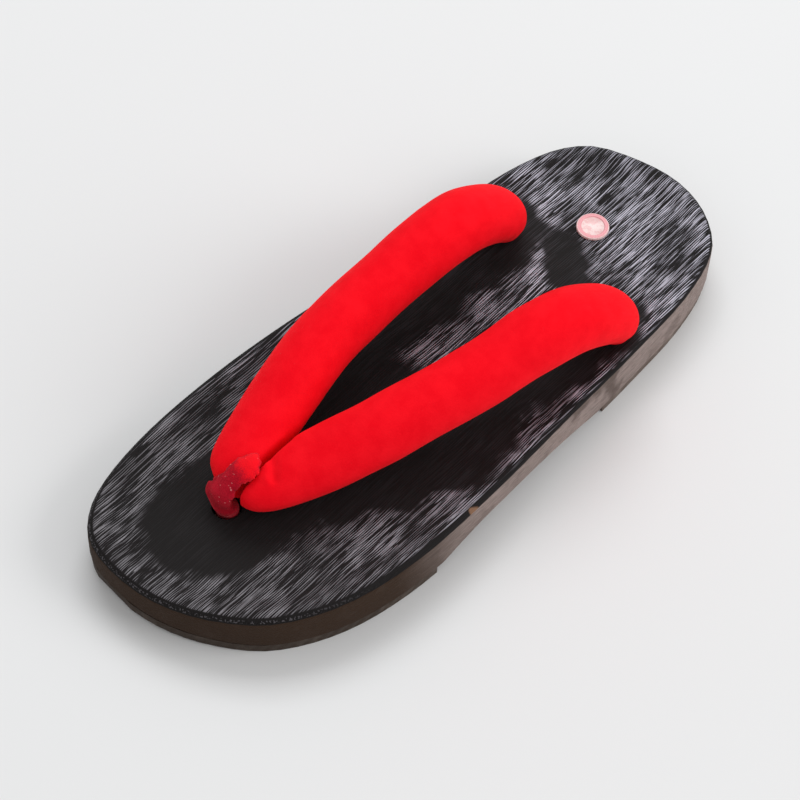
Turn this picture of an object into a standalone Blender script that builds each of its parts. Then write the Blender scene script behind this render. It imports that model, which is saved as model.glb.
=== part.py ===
"""Left shoe of a pair of low geta: a one-piece wooden sole with an arch and a thick padded thong.

Frame: +Y points to the toe, +X to the big-toe side, +Z up. The origin lies on the floor under the
middle of the sole's outline. All lengths are in metres.
"""
import math

import bmesh
import bpy
import numpy as np
from mathutils import Vector

MM = 0.001

# Sole
SOLE_LENGTH = 246.0 * MM
BALL_WIDTH = 97.6 * MM
RIM_HEIGHT = 21.0 * MM
TOE_DROP = 3.6 * MM
HEEL_DROP = 1.0 * MM
EDGE_RADIUS = 2.4 * MM
DISH_DEPTH = 1.5 * MM
DISH_SLOPE = 9.0 * MM
BASE_CHAMFER = 0.8 * MM
TOE_SPRING = 1.5 * MM
SPRING_LENGTH = 0.13 * SOLE_LENGTH

# Arch cut under the waist, from its front end to its rear end
ARCH_FRONT = 0.163 * SOLE_LENGTH
ARCH_REAR = -0.179 * SOLE_LENGTH
ARCH_RISE = 5.8 * MM

# Rubber treads
TREAD_THICKNESS = 3.7 * MM
TREAD_INSET = 0.7 * MM

# Gaps between pieces that touch
SEAT_GAP = 0.3 * MM
CLOTH_GAP = 0.45 * MM

# Thong holes and the recesses under them
FRONT_HOLE = (0.072 * BALL_WIDTH, 0.329 * SOLE_LENGTH)
MEDIAL_HOLE = (0.302 * BALL_WIDTH, -0.256 * SOLE_LENGTH)
LATERAL_HOLE = (-0.272 * BALL_WIDTH, -0.248 * SOLE_LENGTH)
HOLES = {"front": FRONT_HOLE, "medial": MEDIAL_HOLE, "lateral": LATERAL_HOLE}
HOLE_DIAMETER = 10.0 * MM
RECESS_DIAMETER = 17.0 * MM
RECESS_ROOF = 9.5 * MM

# Padded thong
STRAP_WIDTH = 24.0 * MM
STRAP_RISE = 24.6 * MM
JOINT_SETBACK = 9.0 * MM
PLUG_DEPTH = 5.0 * MM
LOOP_WIDTH = 10.0 * MM
LOOP_THICKNESS = 6.0 * MM
LOOP_END = 7.5 * MM

# Knots and heel badge
KNOT_WIDTH = 14.0 * MM
KNOT_HEIGHT = 6.0 * MM
CORD_DIAMETER = 6.5 * MM
CORD_SIDES = 30
BADGE_DIAMETER = 11.4 * MM
BADGE_THICKNESS = 0.9 * MM
BADGE_ROUNDING = 0.3 * MM
BADGE_PLACE = (0.090 * BALL_WIDTH, -0.348 * SOLE_LENGTH)

# Fineness of the surfaces
SPINE_SHARE = 0.6
STATIONS = 44
CURVE_STEPS = 24
ARCH_STEPS = 3
STRAP_SIDES = 18
STRAP_STEPS = 3
SHARP_ANGLE = math.radians(35)

# Rows of points: over the sole's round edge, down its dished slope, and over its flat middle
EDGE_ANGLES = (0.0, 22.5, 45.0, 67.5, 90.0)
SLOPE_SHARES = (0.2, 0.4, 0.6, 0.8, 1.0)
MIDDLE_SHARES = (0.5, 1.0)
BASE_SHARES = (1.0, 0.5, 0.0)
KNOT_ANGLES = (-65, -40, -15, 15, 40, 65)

# Sole outline, from the heel round the big-toe side: place along the length and across the ball width
OUTLINE = (
    # along, across
    (-0.500, 0.051), (-0.480, 0.246), (-0.449, 0.374), (-0.388, 0.451), (-0.276, 0.484),
    (-0.110, 0.467), (0.073, 0.493), (0.211, 0.495), (0.348, 0.464), (0.445, 0.394),
    (0.489, 0.292), (0.500, 0.149), (0.489, -0.036), (0.456, -0.205), (0.400, -0.360),
    (0.311, -0.464), (0.200, -0.500), (0.053, -0.478), (-0.106, -0.430), (-0.244, -0.389),
    (-0.366, -0.338), (-0.447, -0.256), (-0.488, -0.118),
)

# Arch roof: share of the arch's length from its front end, share of its rise
ARCH = (
    (0.00, 0.00), (0.04, 0.22), (0.12, 0.58), (0.24, 0.90), (0.40, 1.00),
    (0.56, 0.92), (0.72, 0.68), (0.87, 0.34), (1.00, 0.00),
)

# One arm of the thong, from the front joint to its rear hole. Reach and spread are shares of the way
# back and sideways to the hole, rise is the centre's height as a share of STRAP_RISE, width and
# thickness are shares of STRAP_WIDTH.
ARM = (
    # reach, medial spread, lateral spread, rise, width, thickness
    (-0.072, 0.03, 0.04, 0.31, 0.20, 0.18),
    (-0.060, 0.05, 0.06, 0.31, 0.50, 0.38),
    (-0.036, 0.08, 0.10, 0.33, 0.80, 0.58),
    (0.020, 0.20, 0.20, 0.37, 0.97, 0.74),
    (0.145, 0.46, 0.41, 0.50, 1.00, 0.89),
    (0.260, 0.65, 0.56, 0.64, 1.00, 0.98),
    (0.373, 0.78, 0.67, 0.75, 0.98, 1.00),
    (0.486, 0.86, 0.76, 0.80, 0.97, 1.00),
    (0.600, 0.91, 0.83, 0.85, 0.99, 0.98),
    (0.714, 0.94, 0.88, 0.93, 1.03, 0.96),
    (0.828, 0.96, 0.93, 0.88, 1.05, 0.94),
    (0.920, 0.98, 0.97, 0.64, 1.02, 0.90),
    (0.975, 0.99, 0.99, 0.38, 0.95, 0.82),
    (0.997, 1.00, 1.00, 0.17, 0.80, 0.72),
)

# Front loop, from the crotch between the arms over the joint and down to the hole. Ahead is the distance
# in front of the joint and aside the distance from the hole to the big-toe side, both as shares of
# JOINT_SETBACK. Rise is a share of STRAP_RISE.
LOOP = (
    # ahead, aside, rise, width, thickness
    (-0.55, -0.66, 0.64, 0.55, 0.50),
    (-0.42, -0.58, 0.67, 0.85, 0.85),
    (0.00, -0.36, 0.70, 1.00, 1.00),
    (0.55, -0.12, 0.61, 1.02, 1.00),
    (1.02, 0.02, 0.42, 0.98, 1.00),
    (1.18, 0.03, 0.22, 0.86, 1.02),
    (1.10, 0.00, 0.08, 0.78, 1.05),
)


def smooth_step(share):
    """Return a share from 0 to 1 eased at both ends."""
    share = min(1.0, max(0.0, share))
    return share * share * (3.0 - 2.0 * share)


def spline(rows, steps, closed=False):
    """Return rows on a smooth curve through the given rows, whose first three columns are a place."""
    rows = [np.array(row, dtype=float) for row in rows]
    count = len(rows)

    def at(index):
        if closed:
            return rows[index % count]
        if index < 0:
            return rows[0] * 2.0 - rows[1]
        if index >= count:
            return rows[-1] * 2.0 - rows[-2]
        return rows[index]

    result = []
    for index in range(count if closed else count - 1):
        before, start, end, after = (at(index + shift) for shift in (-1, 0, 1, 2))
        run_in, run, run_out = (
            np.linalg.norm((to - since)[:3]) for since, to in ((before, start), (start, end), (end, after)))
        leave = (end - before) / (run_in + run) * run
        arrive = (after - start) / (run + run_out) * run
        for step in range(steps):
            t = step / steps
            result.append(
                start * (2 * t ** 3 - 3 * t ** 2 + 1) + leave * (t ** 3 - 2 * t ** 2 + t)
                + end * (3 * t ** 2 - 2 * t ** 3) + arrive * (t ** 3 - t ** 2))
    if not closed:
        result.append(rows[-1])
    return result


CURVE = np.array(spline(
    [(across * BALL_WIDTH, along * SOLE_LENGTH, 0.0) for along, across in OUTLINE], CURVE_STEPS, True))
CURVE_RUN = np.roll(CURVE, -1, axis=0) - CURVE


def side_x(y, medial):
    """Return the outline's x at a place along the sole, on one side."""
    share = (y - CURVE[:, 1]) / np.where(CURVE_RUN[:, 1] == 0.0, MM, CURVE_RUN[:, 1])
    hit = (share >= 0.0) & (share <= 1.0)
    places = (CURVE[:, 0] + CURVE_RUN[:, 0] * share)[hit]
    return float(places.max() if medial else places.min())


def edge_distance(x, y):
    """Return how far a point of the footbed lies from the outline."""
    away = np.array((x, y)) - CURVE[:, :2]
    run = CURVE_RUN[:, :2]
    share = np.clip((away * run).sum(axis=1) / (run * run).sum(axis=1), 0.0, 1.0)
    return float(np.linalg.norm(away - run * share[:, None], axis=1).min())


def rim_height(y):
    """Return the height of the sole's rim: highest at the waist, lower to the toe and the heel."""
    share = 2.0 * y / SOLE_LENGTH
    drop = TOE_DROP if share > 0.0 else HEEL_DROP
    return RIM_HEIGHT - drop * share * share


def dish(inside):
    """Return how far the footbed lies under its rim at a distance inside the outline."""
    return DISH_DEPTH * smooth_step((inside - EDGE_RADIUS) / DISH_SLOPE)


def footbed_height(x, y):
    """Return the height of the footbed."""
    return rim_height(y) - dish(edge_distance(x, y))


def spring(y):
    """Return how far the underside lifts off the floor towards the toe."""
    return TOE_SPRING * max(0.0, (y - SOLE_LENGTH / 2 + SPRING_LENGTH) / SPRING_LENGTH) ** 2


def material(name, color, roughness, metallic=0.0):
    """Return a plain material."""
    result = bpy.data.materials.new(name)
    result.use_nodes = True
    shader = result.node_tree.nodes["Principled BSDF"]
    shader.inputs["Base Color"].default_value = (*color, 1.0)
    shader.inputs["Roughness"].default_value = roughness
    shader.inputs["Metallic"].default_value = metallic
    return result


def new_object(name, mesh_data, finish=None):
    """Link a mesh's object to the scene, with its faces pointing out."""
    bmesh.ops.remove_doubles(mesh_data, verts=mesh_data.verts, dist=1e-6)
    bmesh.ops.recalc_face_normals(mesh_data, faces=mesh_data.faces)
    mesh = bpy.data.meshes.new(name)
    mesh_data.to_mesh(mesh)
    mesh_data.free()
    mesh.shade_smooth()
    mesh.set_sharp_from_angle(angle=SHARP_ANGLE)
    result = bpy.data.objects.new(name, mesh)
    bpy.context.scene.collection.objects.link(result)
    if finish:
        mesh.materials.append(finish)
    else:
        result.hide_render = True
        result.display_type = "WIRE"
    return result


def boolean(target, other, operation):
    """Cut one object from another, or join it on."""
    modifier = target.modifiers.new(operation.lower(), "BOOLEAN")
    modifier.operation = operation
    modifier.solver = "EXACT"
    modifier.object = other


def loft(mesh_data, rings, closed_ends=True):
    """Skin a row of rings that have as many points each."""
    rows = [[mesh_data.verts.new(point) for point in ring] for ring in rings]
    count = len(rows[0])
    for low, high in zip(rows, rows[1:]):
        for index in range(count):
            following = (index + 1) % count
            mesh_data.faces.new((low[index], low[following], high[following], high[index]))
    if closed_ends:
        mesh_data.faces.new(rows[0])
        mesh_data.faces.new(rows[-1])
    return rows


def turned(name, place, profile, finish=None):
    """Return an upright turned piece: the profile's rows are a radius and a height, bottom first."""
    mesh_data = bmesh.new()
    verts = [mesh_data.verts.new((radius, 0.0, height)) for radius, height in profile]
    edges = [mesh_data.edges.new(pair) for pair in zip(verts, verts[1:])]
    bmesh.ops.spin(
        mesh_data, geom=verts + edges, cent=(0, 0, 0), axis=(0, 0, 1), angle=2 * math.pi,
        steps=CORD_SIDES, use_merge=True)
    bmesh.ops.translate(mesh_data, verts=mesh_data.verts, vec=(*place, 0.0))
    return new_object(name, mesh_data, finish)


def knot_hole(name, place):
    """Return the cutter of one thong hole with the wider recess for its knot underneath."""
    recess = RECESS_DIAMETER / 2
    hole = HOLE_DIAMETER / 2
    top = 2 * RIM_HEIGHT
    return turned(name, place, [
        (0.0, -RIM_HEIGHT), (recess, -RIM_HEIGHT), (recess, RECESS_ROOF), (hole, RECESS_ROOF),
        (hole, top), (0.0, top)])


def station_places(start=-0.5, end=0.5, count=STATIONS):
    """Return places along the sole, closer together towards its two round ends."""
    low = math.asin(max(-1.0, min(1.0, 2.0 * start)))
    high = math.asin(max(-1.0, min(1.0, 2.0 * end)))
    angles = [low + (high - low) * index / count for index in range(count + 1)]
    return [SOLE_LENGTH / 2 * math.sin(angle) for angle in angles]


def outline_ring():
    """Return the outline's points, heel tip first, and for each its place on the sole's spine."""
    places = station_places()
    heel = Vector(CURVE[CURVE[:, 1].argmin()])
    toe = Vector(CURVE[CURVE[:, 1].argmax()])
    ring = [heel] + [Vector((side_x(y, True), y, 0.0)) for y in places[1:-1]] + [toe]
    ring += [Vector((side_x(y, False), y, 0.0)) for y in reversed(places[1:-1])]
    spine = []
    for y in places:
        along = y * SPINE_SHARE
        spine.append(Vector(((side_x(along, True) + side_x(along, False)) / 2, along, 0.0)))
    spine += spine[1:-1][::-1]
    return ring, spine


def inset(ring, distance):
    """Return a ring moved inwards by a distance."""
    count = len(ring)
    result = []
    for index, point in enumerate(ring):
        along = (ring[(index + 1) % count] - ring[index - 1]).normalized()
        result.append(point + Vector((-along.y, along.x, 0.0)) * distance)
    return result


def sole_block(finish):
    """Return the wooden block: dished top, round upper edge, arch, thong holes and knot recesses."""
    ring, spine = outline_ring()
    base = TREAD_THICKNESS + SEAT_GAP
    rows = []

    def add(points, height):
        rows.append([Vector((point.x, point.y, height(point.y))) for point in points])

    def toward_spine(points, share):
        return [point.lerp(middle, share) for point, middle in zip(points, spine)]

    base_inner = inset(ring, BASE_CHAMFER)
    for share in BASE_SHARES:
        add(toward_spine(base_inner, share), lambda y: base + spring(y))
    add(ring, lambda y: base + BASE_CHAMFER + spring(y))
    for angle in EDGE_ANGLES:
        turn = math.radians(angle)
        add(inset(ring, EDGE_RADIUS * (1.0 - math.cos(turn))),
            lambda y, turn=turn: rim_height(y) - EDGE_RADIUS * (1.0 - math.sin(turn)))
    for share in SLOPE_SHARES:
        inside = EDGE_RADIUS + DISH_SLOPE * share
        add(inset(ring, inside), lambda y, inside=inside: rim_height(y) - dish(inside))
    floor_ring = inset(ring, EDGE_RADIUS + DISH_SLOPE)
    for share in MIDDLE_SHARES:
        add(toward_spine(floor_ring, share), lambda y: rim_height(y) - DISH_DEPTH)
    mesh_data = bmesh.new()
    loft(mesh_data, rows, closed_ends=False)
    block = new_object("sole_block", mesh_data, finish)

    reach = BALL_WIDTH
    roof = spline(
        [(0.0, ARCH_FRONT + (ARCH_REAR - ARCH_FRONT) * along, base + ARCH_RISE * rise)
         for along, rise in ARCH], ARCH_STEPS)
    profile = [Vector(point) for point in roof]
    profile += [Vector((0.0, ARCH_REAR, 0.0)), Vector((0.0, ARCH_FRONT, 0.0))]
    cutter_data = bmesh.new()
    loft(cutter_data, [[point + Vector((x, 0.0, 0.0)) for point in profile] for x in (-reach, reach)])
    boolean(block, new_object("arch_cutter", cutter_data), "DIFFERENCE")
    for name, place in HOLES.items():
        boolean(block, knot_hole(name + "_hole_cutter", place), "DIFFERENCE")
    return block


def tread(name, start, end, holes, finish):
    """Return a rubber tread pad under one block, with its knot holes."""
    places = station_places(start / SOLE_LENGTH, end / SOLE_LENGTH, STATIONS // 2)
    rings = []
    for y in places:
        at = max(-SOLE_LENGTH / 2 + TREAD_INSET, min(SOLE_LENGTH / 2 - TREAD_INSET, y))
        medial = side_x(at, True)
        lateral = side_x(at, False)
        inward = min(TREAD_INSET, (medial - lateral) / 4)
        low = spring(at)
        high = low + TREAD_THICKNESS
        rings.append([
            Vector((lateral + inward, at, low)), Vector((medial - inward, at, low)),
            Vector((medial - inward, at, high)), Vector((lateral + inward, at, high))])
    mesh_data = bmesh.new()
    loft(mesh_data, rings)
    pad = new_object(name, mesh_data, finish)
    for hole in holes:
        boolean(pad, knot_hole(name + "_" + hole + "_cutter", HOLES[hole]), "DIFFERENCE")
    return pad


def tube_rings(rows, sides, grow=0.0):
    """Return oval rings along a path: each row is a centre, a width and a thickness."""
    centres = [Vector(row[:3]) for row in rows]
    across = Vector((1.0, 0.0, 0.0))
    rings = []
    for index, centre in enumerate(centres):
        before = centres[max(0, index - 1)]
        after = centres[min(len(centres) - 1, index + 1)]
        along = (after - before).normalized()
        across = sideways(along, across)
        upward = across.cross(along)
        width, thickness = rows[index][3:]
        ring = []
        for side in range(sides):
            angle = 2.0 * math.pi * side / sides
            ring.append(centre + across * (math.cos(angle) * (width / 2 + grow))
                        + upward * (math.sin(angle) * (thickness / 2 + grow)))
        rings.append(ring)
    return rings


def sideways(along, last):
    """Return the level direction across a path, on the side of the last one."""
    flat = Vector((along.y, -along.x, 0.0))
    if flat.length < math.sin(math.radians(3)):
        return last
    return flat.normalized() if flat.dot(last) >= 0.0 else -flat.normalized()


def rest_on_footbed(ring):
    """Flatten a ring where it lies on the footbed."""
    for point in ring:
        point.z = max(point.z, footbed_height(point.x, point.y) + CLOTH_GAP)


def arm(name, hole, medial, grow=0.0, finish=None):
    """Return one padded arm of the thong, from the front joint down into its rear hole."""
    front = Vector((FRONT_HOLE[0], FRONT_HOLE[1] - JOINT_SETBACK, 0.0))
    floor = RIM_HEIGHT - DISH_DEPTH
    rows = []
    for reach, spread_medial, spread_lateral, rise, width, thickness in ARM:
        spread = spread_medial if medial else spread_lateral
        rows.append((
            front.x + (hole[0] - front.x) * spread, front.y + (hole[1] - front.y) * reach,
            floor + STRAP_RISE * rise, width * STRAP_WIDTH, thickness * STRAP_WIDTH))
    rings = tube_rings(spline(rows, STRAP_STEPS), STRAP_SIDES, grow)
    rings[0] = [point + Vector((0.0, 2 * grow, 0.0)) for point in rings[0]]
    plug = HOLE_DIAMETER - 2 * SEAT_GAP
    seat = footbed_height(*hole)
    ends = tube_rings(((*hole, seat, plug, plug), (*hole, seat - PLUG_DEPTH, plug, plug)), STRAP_SIDES, grow)
    rings.append(ends[0])
    for ring in rings:
        rest_on_footbed(ring)
    rings.append(ends[1])
    mesh_data = bmesh.new()
    loft(mesh_data, rings)
    return new_object(name, mesh_data, finish)


def hanao_straps(finish):
    """Return the upper: both padded arms joined at the front."""
    straps = arm("hanao_straps", MEDIAL_HOLE, True, 0.0, finish)
    boolean(straps, arm("lateral_arm", LATERAL_HOLE, False), "UNION")
    return straps


def maetsubo(finish):
    """Return the front loop that holds the joint down in the front hole."""
    floor = footbed_height(*FRONT_HOLE)
    joint_y = FRONT_HOLE[1] - JOINT_SETBACK
    rows = []
    for ahead, aside, rise, width, thickness in LOOP:
        side = FRONT_HOLE[0] + JOINT_SETBACK * aside
        place = (side, joint_y + JOINT_SETBACK * ahead, floor + STRAP_RISE * rise)
        rows.append((*place, LOOP_WIDTH * width, LOOP_THICKNESS * thickness))
    rows.append((*FRONT_HOLE, floor - SEAT_GAP, LOOP_END, LOOP_THICKNESS))
    rows.append((*FRONT_HOLE, floor - PLUG_DEPTH, LOOP_END, LOOP_THICKNESS))
    mesh_data = bmesh.new()
    loft(mesh_data, tube_rings(spline(rows, STRAP_STEPS), STRAP_SIDES))
    loop = new_object("maetsubo", mesh_data, finish)
    boolean(loop, arm("medial_clearance", MEDIAL_HOLE, True, SEAT_GAP), "DIFFERENCE")
    boolean(loop, arm("lateral_clearance", LATERAL_HOLE, False, SEAT_GAP), "DIFFERENCE")
    return loop


def knot(name, hole, finish):
    """Return the cord's knot under the sole with the cord that rises from it in the hole."""
    top = RECESS_ROOF - SEAT_GAP
    cord_top = footbed_height(*hole) - PLUG_DEPTH - SEAT_GAP
    cord = CORD_DIAMETER / 2
    profile = [(0.0, top - KNOT_HEIGHT)]
    for angle in KNOT_ANGLES:
        turn = math.radians(angle)
        profile.append((KNOT_WIDTH / 2 * math.cos(turn),
                        top - KNOT_HEIGHT / 2 + KNOT_HEIGHT / 2 * math.sin(turn)))
    profile += [(cord, top - SEAT_GAP), (cord, cord_top), (0.0, cord_top)]
    return turned(name, hole, profile, finish)


def heel_badge(finish):
    """Return the small plain disc on the heel."""
    seat = footbed_height(*BADGE_PLACE) + SEAT_GAP
    radius = BADGE_DIAMETER / 2
    top = seat + BADGE_THICKNESS
    return turned("heel_badge", BADGE_PLACE, [
        (0.0, seat), (radius, seat), (radius, top - BADGE_ROUNDING), (radius - BADGE_ROUNDING, top),
        (0.0, top)], finish)


def build():
    """Model the whole shoe."""
    for item in list(bpy.data.objects):
        bpy.data.objects.remove(item, do_unlink=True)
    wood = material("black_lacquered_wood", (0.025, 0.02, 0.022), 0.3)
    rubber = material("brown_rubber", (0.13, 0.09, 0.075), 0.8)
    cloth = material("red_cloth", (0.85, 0.005, 0.01), 0.9)
    velvet = material("wine_velvet", (0.35, 0.003, 0.01), 0.95)
    cord = material("cotton_cord", (0.55, 0.45, 0.32), 0.9)
    enamel = material("pale_badge", (0.85, 0.6, 0.6), 0.35)
    sole_block(wood)
    tread("toe_tread", ARCH_FRONT, SOLE_LENGTH / 2, ("front",), rubber)
    tread("heel_tread", -SOLE_LENGTH / 2, ARCH_REAR, ("medial", "lateral"), rubber)
    hanao_straps(cloth)
    maetsubo(velvet)
    knot("front_knot", FRONT_HOLE, cord)
    knot("rear_knot_medial", MEDIAL_HOLE, cord)
    knot("rear_knot_lateral", LATERAL_HOLE, cord)
    heel_badge(enamel)


build()
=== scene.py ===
"""Looks of a left geta sandal: lacquered open-grain sole, padded red thong, velvet front loop, treads."""

import logging
import math
from dataclasses import dataclass
from enum import Enum
from typing import Any, Sequence

import bmesh
import bpy
import numpy as np
from mathutils import Matrix, Vector, noise
from mathutils.bvhtree import BVHTree


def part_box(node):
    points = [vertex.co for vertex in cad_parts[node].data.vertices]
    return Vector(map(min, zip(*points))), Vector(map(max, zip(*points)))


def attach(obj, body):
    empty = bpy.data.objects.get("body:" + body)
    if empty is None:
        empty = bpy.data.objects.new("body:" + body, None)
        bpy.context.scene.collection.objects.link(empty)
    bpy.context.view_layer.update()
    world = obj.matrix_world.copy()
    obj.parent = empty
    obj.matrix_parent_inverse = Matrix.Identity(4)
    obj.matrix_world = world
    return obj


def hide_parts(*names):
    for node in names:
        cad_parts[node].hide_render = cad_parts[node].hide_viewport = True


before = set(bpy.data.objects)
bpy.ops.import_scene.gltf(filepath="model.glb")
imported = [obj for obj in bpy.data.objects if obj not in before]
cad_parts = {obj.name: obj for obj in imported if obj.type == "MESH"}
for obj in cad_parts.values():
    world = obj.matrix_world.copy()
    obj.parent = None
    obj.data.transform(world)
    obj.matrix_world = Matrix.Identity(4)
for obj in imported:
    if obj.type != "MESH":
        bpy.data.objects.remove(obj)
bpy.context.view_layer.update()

MM = 0.001
RED = (0.97, 0.003, 0.012)
BODY = "root"
Socket = bpy.types.NodeSocket
Color = tuple[float, float, float]
Point = tuple[float, float, float]

logging.basicConfig(level=logging.INFO, format="%(message)s")
LOG = logging.getLogger("geta")


class SocketKind(Enum):
    """Kinds of value that a shared effect takes in or puts out."""

    VALUE = "NodeSocketFloat"
    VECTOR = "NodeSocketVector"


class Slot(Enum):
    """Material slots of the part's record."""

    WOOD = "lacquered_wood"
    RUBBER = "tread_rubber"
    CLOTH = "red_cloth"
    VELVET = "wine_velvet"
    CORD = "cotton_cord"
    BADGE = "badge"


class Wiring:
    """Adds and joins the nodes of one shader tree."""

    def __init__(self, tree: bpy.types.NodeTree) -> None:
        """Start on a tree.

        Args:
            tree: The shader tree that gets the nodes.
        """
        self.tree = tree

    def add(self, kind: str, **settings: Any) -> bpy.types.Node:
        """Add a node.

        Args:
            kind: Blender's name of the node's type.
            settings: Values for the node's own properties.

        Returns:
            The new node.
        """
        node = self.tree.nodes.new(kind)
        for name, value in settings.items():
            setattr(node, name, value)
        return node

    def feed(self, target: Socket, value: Any) -> None:
        """Link a socket to an input, or set the input's value.

        Args:
            target: The input.
            value: A socket, a plain value, or None to leave the input as it is.
        """
        if isinstance(value, bpy.types.NodeSocket):
            self.tree.links.new(value, target)
        elif value is not None:
            target.default_value = value

    def math(self, operation: str, first: Any, second: Any = None, third: Any = None) -> Socket:
        """Combine values.

        Args:
            operation: Blender's name of the sum to do.
            first: First value or socket.
            second: Second value or socket.
            third: Third value or socket.

        Returns:
            The result's socket.
        """
        node = self.add("ShaderNodeMath", operation=operation)
        for target, value in zip(node.inputs, (first, second, third)):
            self.feed(target, value)
        return node.outputs[0]

    def ease(self, value: Any, start: Any, end: Any, low: Any = 0.0, high: Any = 1.0) -> Socket:
        """Map a value smoothly from one range to another.

        Args:
            value: The value or socket.
            start: Where the result is low.
            end: Where the result is high.
            low: The result at start.
            high: The result at end.

        Returns:
            The result's socket.
        """
        node = self.add("ShaderNodeMapRange", interpolation_type="SMOOTHSTEP")
        for target, item in zip(node.inputs, (value, start, end, low, high)):
            self.feed(target, item)
        return node.outputs[0]

    def tint(self, share: Any, low: Any, high: Any) -> Socket:
        """Blend two colours.

        Args:
            share: Share of the second colour.
            low: First colour or socket.
            high: Second colour or socket.

        Returns:
            The blended colour's socket.
        """
        node = self.add("ShaderNodeMix", data_type="RGBA")
        for target, value in zip((node.inputs[0], node.inputs[6], node.inputs[7]), (share, low, high)):
            if isinstance(value, tuple):
                value = (*value, 1.0)
            self.feed(target, value)
        return node.outputs[2]

    def clouds(self, vector: Any, scale: float, detail: float = 2.0, roughness: float = 0.5) -> Socket:
        """Add soft noise.

        Args:
            vector: Socket of the place.
            scale: Spots in a metre.
            detail: Number of finer layers.
            roughness: Strength of the finer layers.

        Returns:
            The noise's socket, from 0 to 1.
        """
        node = self.add("ShaderNodeTexNoise")
        for name, value in (("Vector", vector), ("Scale", scale), ("Detail", detail), ("Roughness", roughness)):
            self.feed(node.inputs[name], value)
        return node.outputs[0]

    def place(self, centre: Point = (0.0, 0.0, 0.0)) -> Socket:
        """Return the place on the piece, measured from a centre in the part's frame.

        Args:
            centre: The point that the place is measured from.

        Returns:
            The place's socket.
        """
        spot = self.add("ShaderNodeTexCoord").outputs["Object"]
        mapping = self.add("ShaderNodeMapping")
        self.feed(mapping.inputs["Vector"], spot)
        self.feed(mapping.inputs["Location"], tuple(-value for value in centre))
        return mapping.outputs[0]

    def from_line(self, place: Socket, start: Point, end: Point) -> Socket:
        """Return how far a place lies from a stretch of line, seen from above.

        Args:
            place: Socket of the place.
            start: One end of the stretch.
            end: The other end.

        Returns:
            The distance's socket.
        """
        run = Vector(end) - Vector(start)
        away = self.moved(self.scaled(place, (1.0, 1.0, 0.0)), tuple(-Vector(start)))
        share = self.add("ShaderNodeVectorMath", operation="DOT_PRODUCT")
        self.feed(share.inputs[0], away)
        self.feed(share.inputs[1], tuple(run / run.length_squared))
        held = self.add("ShaderNodeClamp")
        self.feed(held.inputs[0], share.outputs["Value"])
        back = self.scaled(self.joined(*[held.outputs[0]] * 3), tuple(-run))
        reach = self.add("ShaderNodeVectorMath", operation="LENGTH")
        self.feed(reach.inputs[0], self.moved(away, back))
        return reach.outputs["Value"]

    def turned(self, vector: Socket, angle: float) -> Socket:
        """Return a vector turned about the upright axis."""
        mapping = self.add("ShaderNodeMapping")
        self.feed(mapping.inputs["Vector"], vector)
        self.feed(mapping.inputs["Rotation"], (0.0, 0.0, angle))
        return mapping.outputs[0]

    def split(self, vector: Socket) -> list[Socket]:
        """Return a vector's three parts."""
        node = self.add("ShaderNodeSeparateXYZ")
        self.feed(node.inputs[0], vector)
        return list(node.outputs)

    def scaled(self, vector: Socket, scales: Any) -> Socket:
        """Return a vector with each part scaled."""
        node = self.add("ShaderNodeVectorMath", operation="MULTIPLY")
        self.feed(node.inputs[0], vector)
        self.feed(node.inputs[1], scales)
        return node.outputs[0]

    def joined(self, x: Any, y: Any, z: Any) -> Socket:
        """Return a vector made of three values."""
        node = self.add("ShaderNodeCombineXYZ")
        for target, value in zip(node.inputs, (x, y, z)):
            self.feed(target, value)
        return node.outputs[0]

    def moved(self, vector: Socket, shift: Any) -> Socket:
        """Return a vector with another added."""
        node = self.add("ShaderNodeVectorMath", operation="ADD")
        self.feed(node.inputs[0], vector)
        self.feed(node.inputs[1], shift)
        return node.outputs[0]

    def relief(self, height: Socket, strength: float, depth: float, under: Socket | None = None) -> Socket:
        """Turn a height into a normal.

        Args:
            height: Socket of the height.
            strength: Share of the full effect.
            depth: Depth of the relief in metres.
            under: A normal that this relief lies on.

        Returns:
            The normal's socket.
        """
        node = self.add("ShaderNodeBump")
        node.inputs["Strength"].default_value = strength
        node.inputs["Distance"].default_value = depth
        self.feed(node.inputs["Height"], height)
        self.feed(node.inputs["Normal"], under)
        return node.outputs[0]

    def effect(self, group: bpy.types.NodeTree, **values: Any) -> bpy.types.Node:
        """Place a shared effect.

        Args:
            group: The effect's node group.
            values: Sockets or values for its inputs, by name.

        Returns:
            The group's node.
        """
        node = self.add("ShaderNodeGroup", node_tree=group)
        for name, value in values.items():
            self.feed(node.inputs[name], value)
        return node


class Effect:
    """A shader node group that several finishes share."""

    def __init__(self, name: str, inputs: dict[str, SocketKind], outputs: Sequence[str]) -> None:
        """Make the group's sockets.

        Args:
            name: The group's name.
            inputs: Its inputs and their kinds.
            outputs: Names of the values that it puts out.
        """
        self.tree = bpy.data.node_groups.new(name, "ShaderNodeTree")
        for item, kind in inputs.items():
            self.tree.interface.new_socket(name=item, in_out="INPUT", socket_type=kind.value)
        for item in outputs:
            self.tree.interface.new_socket(name=item, in_out="OUTPUT", socket_type=SocketKind.VALUE.value)
        self.wiring = Wiring(self.tree)
        self.entry = self.wiring.add("NodeGroupInput")
        self.exit = self.wiring.add("NodeGroupOutput")

    def put_out(self, name: str, value: Socket) -> None:
        """Send a value out of the group."""
        self.wiring.feed(self.exit.inputs[name], value)


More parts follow.
